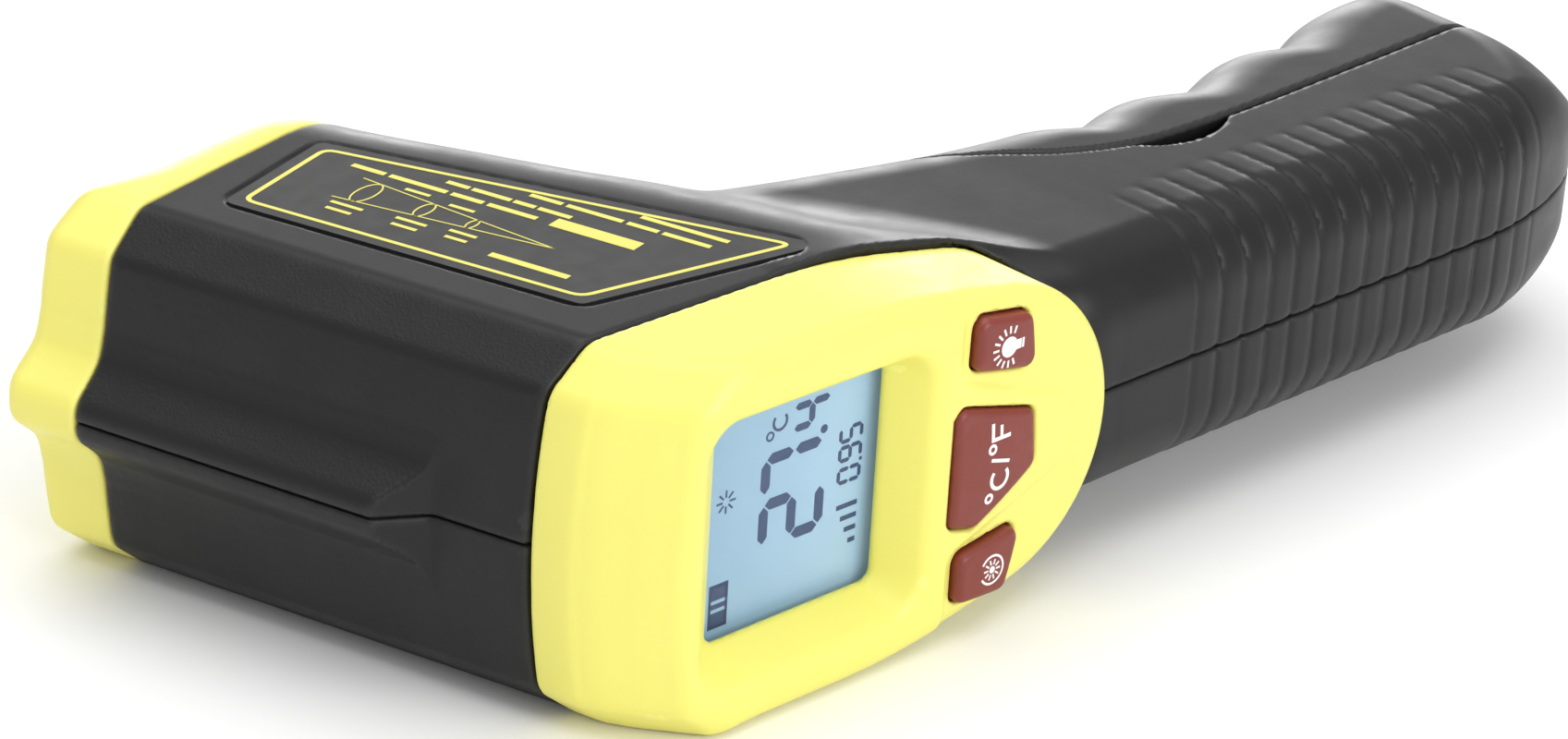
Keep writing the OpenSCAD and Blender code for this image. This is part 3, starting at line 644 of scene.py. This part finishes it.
def yellow_plastic():
    m = Nodes("yellow_abs")
    base = tinted(m, (0.87, 0.81, 0.18), 0.03, 60)
    # Brighter, more saturated yellow on sharp convex edges: a painted edge highlight
    m.set(Base_Color=m.mix(m.math("MULTIPLY", m.edges(0.52, 0.60), 0.5), base, rgb(0.97, 0.93, 0.28)))
    m.set(Roughness=m.range(m.noise(220, 4.0), 0.3, 0.7, 0.36, 0.46))
    m.set(Subsurface_Weight=0.12, Subsurface_Scale=0.002)
    m.bump(m.noise(3600, 2.0, 0.6), 0.00002, 0.5)
    return m.material


def silicone():
    m = Nodes("maroon_silicone")
    base = tinted(m, (0.200, 0.030, 0.020), 0.08, 300)
    # Lighter red on sharp convex edges: a painted edge highlight
    m.set(Base_Color=m.mix(m.math("MULTIPLY", m.edges(0.51, 0.58), 0.35), base, rgb(0.29, 0.06, 0.04)))
    m.set(Roughness=m.range(m.noise(900, 3.0), 0.3, 0.7, 0.36, 0.48))
    m.bump(m.noise(4200, 2.0), 0.00002, 0.6)
    return m.material


def plain(name, colour, rough, grain=2500.0, height=0.00002, spread=0.06):
    """A moulded, turned or printed finish with a fine grain and slight mottling."""
    m = Nodes(name)
    m.set(Base_Color=tinted(m, colour, spread, grain / 12))
    m.set(Roughness=m.range(m.noise(grain / 5, 4.0), 0.3, 0.7, rough * 0.88, min(1.0, rough * 1.14)))
    m.bump(m.noise(grain, 3.0), height, 0.6)
    return m.material


def display_glass():
    """The backlit panel: pale blue, brighter towards the lower edge, with fine polariser grain."""
    m = Nodes("lcd_panel")
    sep = m.add("ShaderNodeSeparateXYZ")
    m.link(m.place, sep.inputs[0])
    down = m.range(sep.outputs["X"], -0.064, -0.036, 0.0, 1.0)
    mottle = m.math("MULTIPLY", m.noise(240, 3.0), 0.25)
    colour = m.mix(m.math("ADD", m.math("MULTIPLY", down, 0.85), mottle),
                   rgb(0.205, 0.350, 0.500), rgb(0.33, 0.50, 0.66))
    m.set(Base_Color=colour, Emission_Color=colour)
    m.shader.inputs["Emission Strength"].default_value = 0.20
    m.set(Roughness=m.range(m.noise(900, 2.0), 0.3, 0.7, 0.16, 0.24))
    m.bump(m.noise(9000, 1.0), 0.000005, 0.4)
    return m.material


def clear(name, tint, rough, alpha):
    """A thin clear sheet, shown mostly by its reflections."""
    m = Nodes(name)
    m.set(Base_Color=tinted(m, tint, 0.02, 150))
    m.set(Roughness=m.range(m.noise(500, 3.0), 0.3, 0.7, rough * 0.7, rough * 1.3))
    m.shader.inputs["Alpha"].default_value = alpha
    m.bump(m.noise(300, 2.0), 0.000004, 0.3)
    return m.material


def label_film():
    m = Nodes("label_film")
    m.set(Base_Color=tinted(m, (0.020, 0.019, 0.018), 0.10, 120))
    m.set(Roughness=m.range(m.noise(400, 4.0), 0.3, 0.7, 0.16, 0.26))
    m.set(Coat_Weight=0.35, Coat_Roughness=0.12)
    m.bump(m.noise(1400, 2.0), 0.000008, 0.35)
    return m.material


def brushed(name, colour, rough):
    m = Nodes(name)
    m.set(Base_Color=tinted(m, colour, 0.08, 400))
    m.shader.inputs["Metallic"].default_value = 1.0
    lines = m.noise(900, 4.0, 0.6, m.stretch((12.0, 12.0, 1.0)))
    m.set(Roughness=m.range(lines, 0.3, 0.7, rough * 0.75, rough * 1.3))
    m.bump(lines, 0.000006, 0.5)
    return m.material


def circuit_board():
    m = Nodes("circuit_board")
    tracks = m.add("ShaderNodeTexVoronoi", feature="DISTANCE_TO_EDGE", distance="CHEBYCHEV")
    m.link(m.place, tracks.inputs["Vector"])
    tracks.inputs["Scale"].default_value = 420
    lines = m.range(tracks.outputs["Distance"], 0.03, 0.06, 1.0, 0.0)
    m.set(Base_Color=m.mix(lines, rgb(0.010, 0.085, 0.035), rgb(0.022, 0.150, 0.060)))
    m.set(Roughness=m.range(m.noise(700, 3.0), 0.3, 0.7, 0.28, 0.38))
    m.bump(lines, 0.00003, 0.6)
    return m.material


BLACK = black_plastic()
YELLOW = yellow_plastic()
MAROON = silicone()
LCD = display_glass()
CLEAR = clear("clear_window", (0.60, 0.66, 0.70), 0.05, 0.03)
FILM = label_film()
STEEL = brushed("steel", (0.60, 0.61, 0.63), 0.28)
BRASS = brushed("brass", (0.78, 0.58, 0.26), 0.25)
BOARD = circuit_board()
BARREL = plain("barrel_black", (0.012, 0.012, 0.013), 0.5)
LENS = plain("infrared_lens", (0.055, 0.058, 0.065), 0.16, grain=800, height=0.000004)
GUIDE = plain("light_guide", (0.80, 0.84, 0.88), 0.3)
CHIP = plain("chip_resin", (0.014, 0.014, 0.015), 0.55, grain=3500)
PINK = plain("elastomer", (0.60, 0.20, 0.27), 0.6)
HOLDER = plain("holder_plastic", (0.016, 0.016, 0.017), 0.5)
WRAP = plain("cell_wrap", (0.035, 0.075, 0.24), 0.25, spread=0.12)
LEAD = plain("lead_insulation", (0.42, 0.015, 0.012), 0.4)
RIBBON = plain("ribbon_film", (0.55, 0.50, 0.38), 0.35)
SEGMENT = plain("segment_ink", (0.010, 0.040, 0.140), 0.4, grain=1500)
WHITE_INK = plain("white_ink", (0.82, 0.83, 0.84), 0.5, grain=3000)
YELLOW_INK = plain("yellow_ink", (0.78, 0.72, 0.14), 0.4, grain=3000)

CARRIED = {
    "door_hinge_pin": STEEL, "lens_barrel": BARREL, "ir_lens": LENS, "thermopile_sensor": STEEL,
    "sensor_board": BOARD, "laser_module": BRASS, "laser_window": CLEAR, "lcd_window": CLEAR,
    "lcd_panel": LCD, "backlight": GUIDE, "contact_strip": PINK, "main_board": BOARD,
    "processor": CHIP, "buzzer": CHIP, "dome_switches": STEEL, "trigger_spring": STEEL,
    "trigger_switch": CHIP, "battery_holder": HOLDER, "battery_right": WRAP, "battery_left": WRAP,
    "battery_springs": STEEL, "battery_contacts": STEEL, "battery_leads": LEAD,
    "sensor_ribbon": RIBBON, "housing_screws": STEEL, "board_screws": STEEL,
    "label_right": FILM, "label_left": FILM,
}
for name, material in CARRIED.items():
    NODES[name].data.materials.clear()
    NODES[name].data.materials.append(material)

# The trigger's spring, between the shell and the trigger, gets a mesh of its own
SPRING_N, SPRING_L, TRIGGER_TRAVEL = 31, 8, 3
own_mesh(NODES["trigger_spring"], "trigger_pull", axis=(GRIP_SIN, GRIP_COS, 0),
          anchor=tuple(map(float, metres(grip_point(45.8, SPRING_N, 0)))),
          keep=(SPRING_L - TRIGGER_TRAVEL) / SPRING_L)


# ---------------------------------------------------------------- housing, door, keys and trigger

formed("right_shell_form", shell(1), (-6, -95, -0.5), (148, 1, 19.5), 0.5, BLACK,
       node="right_shell")
formed("left_shell_form", shell(-1), (-6, -95, -19.5), (148, 1, 0.5), 0.5, BLACK,
       node="left_shell")
formed("battery_door_form", battery_door, (74, -80, -14), (149, -16, 14), 0.5, BLACK,
       "battery_door", "battery_door")
formed("front_bezel_form", front_bezel, (-7, -2, -20), (51, 10, 20), 0.45, YELLOW,
       node="front_bezel")
formed("rear_bezel_form", rear_bezel, (-6, -82, -20), (63, -46, 20), 0.45, YELLOW,
       node="rear_bezel")
for name, points in KEYS.items():
    us, zs = zip(*points)
    corners = [rear_point(u, 0, w) for u in (min(us) - 2, max(us) + 2) for w in (4, 14.5)]
    low = np.min(corners, 0) + (0, 0, min(zs) - 2)
    high = np.max(corners, 0) + (0, 0, max(zs) + 2)
    formed(name + "_form", key(points), low, high, 0.25, MAROON,
           KEY_BODIES[name], name)
formed("trigger_form", trigger, (45, -38, -7.5), (69, -15, 7.5), 0.35, BLACK,
       "trigger", "trigger")


# ---------------------------------------------------------------- printing
# Each print is drawn flat, in two coordinates, and then laid on its surface.

def ribbon(points, width, closed=False):
    """Quads along a line, mitred at its corners."""
    p = np.array(points, float)
    ahead, behind = np.roll(p, -1, 0) - p, p - np.roll(p, 1, 0)
    if not closed:
        ahead[-1], behind[0] = behind[-1], ahead[0]
    ahead /= np.linalg.norm(ahead, axis=1)[:, None]
    behind /= np.linalg.norm(behind, axis=1)[:, None]
    a, b = np.stack([-ahead[:, 1], ahead[:, 0]], 1), np.stack([-behind[:, 1], behind[:, 0]], 1)
    side = (a + b) / (1 + (a * b).sum(1))[:, None] * width / 2
    left, right = p + side, p - side
    last = len(p) if closed else len(p) - 1
    return [[right[i], right[(i + 1) % len(p)], left[(i + 1) % len(p)], left[i]] for i in range(last)]


def circle(u, v, r, n=28, start=0.0, turn=360.0):
    ends = n if turn == 360 else n + 1
    return [(u + r * math.cos(math.radians(start + turn * i / n)),
             v + r * math.sin(math.radians(start + turn * i / n))) for i in range(ends)]


def bar(u, v, length, width):
    """A plain bar that stands for a line of print, along v."""
    return [[(u - width / 2, v), (u + width / 2, v), (u + width / 2, v + length),
             (u - width / 2, v + length)]]


SEGMENTS = {"0": "abcdef", "2": "abged", "4": "fgbc", "5": "afgcd", "7": "abc", "9": "abcdfg"}


def digit(which, u, v, height, width, t):
    """A seven-segment digit whose top left corner is at (u, v); its top is towards -u."""
    h, g = height / 2, 0.12 * t
    bars = {
        "a": ((0, 0), (0, width)), "g": ((h, 0), (h, width)), "d": ((2 * h, 0), (2 * h, width)),
        "f": ((0, 0), (h, 0)), "b": ((0, width), (h, width)),
        "e": ((h, 0), (2 * h, 0)), "c": ((h, width), (2 * h, width)),
    }
    shapes = []
    for name in SEGMENTS[which]:
        a, b = np.array(bars[name][0], float), np.array(bars[name][1], float)
        d = (b - a) / np.linalg.norm(b - a)
        n = np.array([-d[1], d[0]]) * t / 2
        a, b = a + d * g, b - d * g
        tip = d * t / 2
        corners = (a, a + tip - n, b - tip - n, b, b - tip + n, a + tip + n)
        shapes.append([(u + q[0], v + q[1]) for q in corners])
    return shapes


def area(shape):
    s = np.array(shape)
    return np.cross(s, np.roll(s, -1, 0)).sum()


def printed(name, shapes, place, material, body="root", lift=0.03):
    """Thin raised print: place(u, v, height) gives the point above the surface."""
    points, faces = [], []
    for shape in shapes:
        base, n = len(points), len(shape)
        points += [place(*q, 0.0) for q in shape] + [place(*q, lift) for q in shape]
        faces.append([base + n + i for i in range(n)])
        faces.append([base + i for i in range(n - 1, -1, -1)])
        faces += [[base + i, base + (i + 1) % n, base + n + (i + 1) % n, base + n + i] for i in range(n)]
    obj = mesh_object(name, points, faces)
    obj.data.materials.append(material)
    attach(obj, body)
    return obj


def on_panel(u, v, lift):
    return rear_point(u, v, PANEL_W + lift)


def on_key(points):
    return lambda u, v, lift: rear_point(u, v, KEY_W - dome_drop(points, u, v) + lift)


# The reading, its unit, the set emissivity, a beam mark and a pause mark
figures = digit("2", 21.3, -4.3, 7.2, 4.1, 1.15) + digit("7", 21.3, 0.9, 7.2, 3.6, 1.15)
figures += [circle(28.6, 5.6, 0.45, 16)] + digit("4", 24.6, 6.7, 4.6, 2.2, 0.75)
figures += ribbon(circle(21.6, 6.9, 0.42, 16), 0.2, True)
figures += ribbon(circle(22.8, 8.1, 0.85, 16, 140, 260), 0.28)
for k, which in enumerate("095"):
    figures += digit(which, 30.9, -0.9 + 2.0 * k + 0.3 * (k > 0), 2.7, 1.35, 0.42)
figures.append(circle(33.7, 1.0, 0.2, 10))
for k, height in enumerate((0.9, 1.5, 2.1, 2.7)):
    figures += ribbon([(33.6, -7.4 + 1.3 * k), (33.6 - height, -7.4 + 1.3 * k)], 0.5)
for k in range(8):
    a = math.radians(45 * k)
    figures += ribbon([(16.4 + 0.45 * math.cos(a), 1.8 + 0.45 * math.sin(a)),
                       (16.4 + 1.2 * math.cos(a), 1.8 + 1.2 * math.sin(a))], 0.2)
figures += ribbon([(15.0, -11.0), (17.1, -11.0), (17.1, -6.7), (15.0, -6.7)], 0.3, True)
figures += [[(15.0, -11.0), (17.1, -11.0), (17.1, -9.5), (15.0, -9.5)],
            [(15.0, -9.1), (17.1, -9.1), (17.1, -8.6), (15.0, -8.6)],
            [(15.0, -8.2), (17.1, -8.2), (17.1, -6.7), (15.0, -6.7)]]
printed("display_segments", figures, on_panel, SEGMENT)

# A bulb with rays, the two units, and a plain burst with its beam
bulb = [circle(45.6, 11.7, 1.05)] + ribbon([(46.3, 11.7), (47.2, 11.7)], 1.0)
bulb += ribbon([(47.45, 11.2), (47.45, 12.2)], 0.3)
for k in range(11):
    a = math.radians(180 - 112 + 22.4 * k)
    bulb += ribbon([(45.6 + 1.4 * math.cos(a), 11.7 + 1.4 * math.sin(a)),
                    (45.6 + 2.15 * math.cos(a), 11.7 + 2.15 * math.sin(a))], 0.24)
printed("backlight_mark", bulb, on_key(RIGHT_KEY), WHITE_INK, "backlight_key")

units = []
for v in (-3.95, 1.25):
    units += ribbon(circle(44.5, v, 0.42, 18), 0.3, True)
units += ribbon(circle(45.7, -2.05, 1.1, 20, 138, 264), 0.4)
units += ribbon([(46.9, -0.55), (44.4, 0.15)], 0.36)
units += ribbon([(46.9, 2.2), (44.5, 2.2), (44.5, 3.9)], 0.4) + ribbon([(45.65, 2.2), (45.65, 3.5)], 0.38)
printed("units_mark", units, on_key(UNITS_KEY), WHITE_INK, "units_key")

BURST_U, BURST_Z = 45.7, -11.9
burst = [circle(BURST_U, BURST_Z, 0.38, 16)]
for k in range(10):
    a = math.radians(36 * k)
    burst += ribbon([(BURST_U + 0.55 * math.cos(a), BURST_Z + 0.55 * math.sin(a)),
                     (BURST_U + 1.1 * math.cos(a), BURST_Z + 1.1 * math.sin(a))], 0.2)
burst += ribbon(circle(BURST_U, BURST_Z, 1.5, 30, -150, 300), 0.24)
printed("laser_mark", burst, on_key(LEFT_KEY), WHITE_INK, "laser_key")

# The labels: a border, the widening cone with its three measured spots, and bars for the print
outline = inset(LABEL, 0.15)
corners = []
for before, here, after in zip(np.roll(outline, 1, 0), outline, np.roll(outline, -1, 0)):
    a = here + (before - here) / np.linalg.norm(before - here) * 1.2
    b = here + (after - here) / np.linalg.norm(after - here) * 1.2
    for t in (0, 0.25, 0.5, 0.75, 1):
        corners.append(tuple((1 - t) ** 2 * a + 2 * t * (1 - t) * here + t * t * b))
cone = ribbon(corners, 0.5, True)
cone += ribbon([(19.5, -36.5), (22.3, -13.2)], 0.16) + ribbon([(19.5, -36.5), (17.0, -13.2)], 0.16)
for y, tall in ((-15.4, 2.4), (-22.0, 1.65), (-27.4, 1.05)):
    turns = np.linspace(0, 2 * math.pi, 25)[:-1]
    ring = [(19.55 + tall * math.cos(a), y + 0.42 * tall * math.sin(a)) for a in turns]
    cone += ribbon(ring, 0.16, True)
for u, v, length, width in (
        (24.3, -31.5, 21.0, 0.75), (26.4, -34.0, 14.0, 0.7), (28.6, -48.0, 20.0, 0.7),
        (30.6, -48.8, 9.6, 0.7), (24.6, -42.6, 9.4, 1.9), (14.9, -41.0, 8.6, 0.9),
        (16.0, -17.4, 3.6, 0.5), (14.6, -17.0, 2.8, 0.5), (16.6, -24.2, 3.4, 0.5), (15.2, -24.0, 2.8, 0.5),
        (17.2, -29.4, 3.0, 0.5), (15.8, -29.2, 2.4, 0.5), (22.6, -20.6, 2.8, 0.5), (22.0, -26.0, 2.8, 0.5)):
    if length > 10:
        v0 = v
        for part in (0.26, 0.17, 0.31, 0.18):
            cone += bar(u, v0, length * part, width)
            v0 += length * (part + 0.026)
    else:
        cone += bar(u, v, length, width)
for side, name in ((1, "label_print_right"), (-1, "label_print_left")):
    shapes = [s if area(s) * side > 0 else s[::-1] for s in cone]
    printed(name, shapes, lambda x, y, lift: (x, y, side * (LABEL_FACE + lift)), YELLOW_INK)


# ---------------------------------------------------------------- camera, floor and light

def lamp(name, place, target, size, power):
    data = bpy.data.lights.new(name, "AREA")
    data.shape = "RECTANGLE"
    data.size, data.size_y = size
    data.energy = power
    obj = bpy.data.objects.new(name, data)
    obj.location = place
    obj.rotation_euler = (Vector(target) - Vector(place)).to_track_quat("-Z", "Y").to_euler()
    bpy.context.scene.collection.objects.link(obj)


camera = bpy.data.cameras.new("camera")
camera.lens = 112.33
camera.sensor_width = 36
camera.clip_start = 0.01
eye = bpy.data.objects.new("camera", camera)
eye.location = (-0.40618, -0.21117, 0.22505)
eye.rotation_euler = Euler([math.radians(a) for a in (64.364, -3.139, -59.911)], "XYZ")
bpy.context.scene.collection.objects.link(eye)
bpy.context.scene.camera = eye

floor_mesh = bpy.data.meshes.new("floor")
floor_mesh.from_pydata([(-3, -3, 0), (3, -3, 0), (3, 3, 0), (-3, 3, 0)], [], [(0, 1, 2, 3)])
floor_mesh.materials.append(plain("floor_paper", (0.90, 0.90, 0.90), 0.9, grain=40, height=0.0, spread=0.01))
floor = bpy.data.objects.new("floor", floor_mesh)
bpy.context.scene.collection.objects.link(floor)

world = bpy.data.worlds.new("studio")
world.use_nodes = True
world.node_tree.nodes["Background"].inputs["Color"].default_value = (1.0, 1.0, 1.0, 1.0)
world.node_tree.nodes["Background"].inputs["Strength"].default_value = 0.55
bpy.context.scene.world = world
bpy.context.scene.view_settings.view_transform = "Standard"

lamp("overhead", (0.0, 0.1, 1.3), (0, 0, 0), (1.6, 1.6), 14.5)
lamp("side", (-0.25, -0.9, 0.45), (-0.03, 0, 0.02), (0.8, 0.5), 5)
lamp("behind", (1.2, 0.8, 0.12), (0.02, 0, 0.02), (1.0, 0.2), 5)
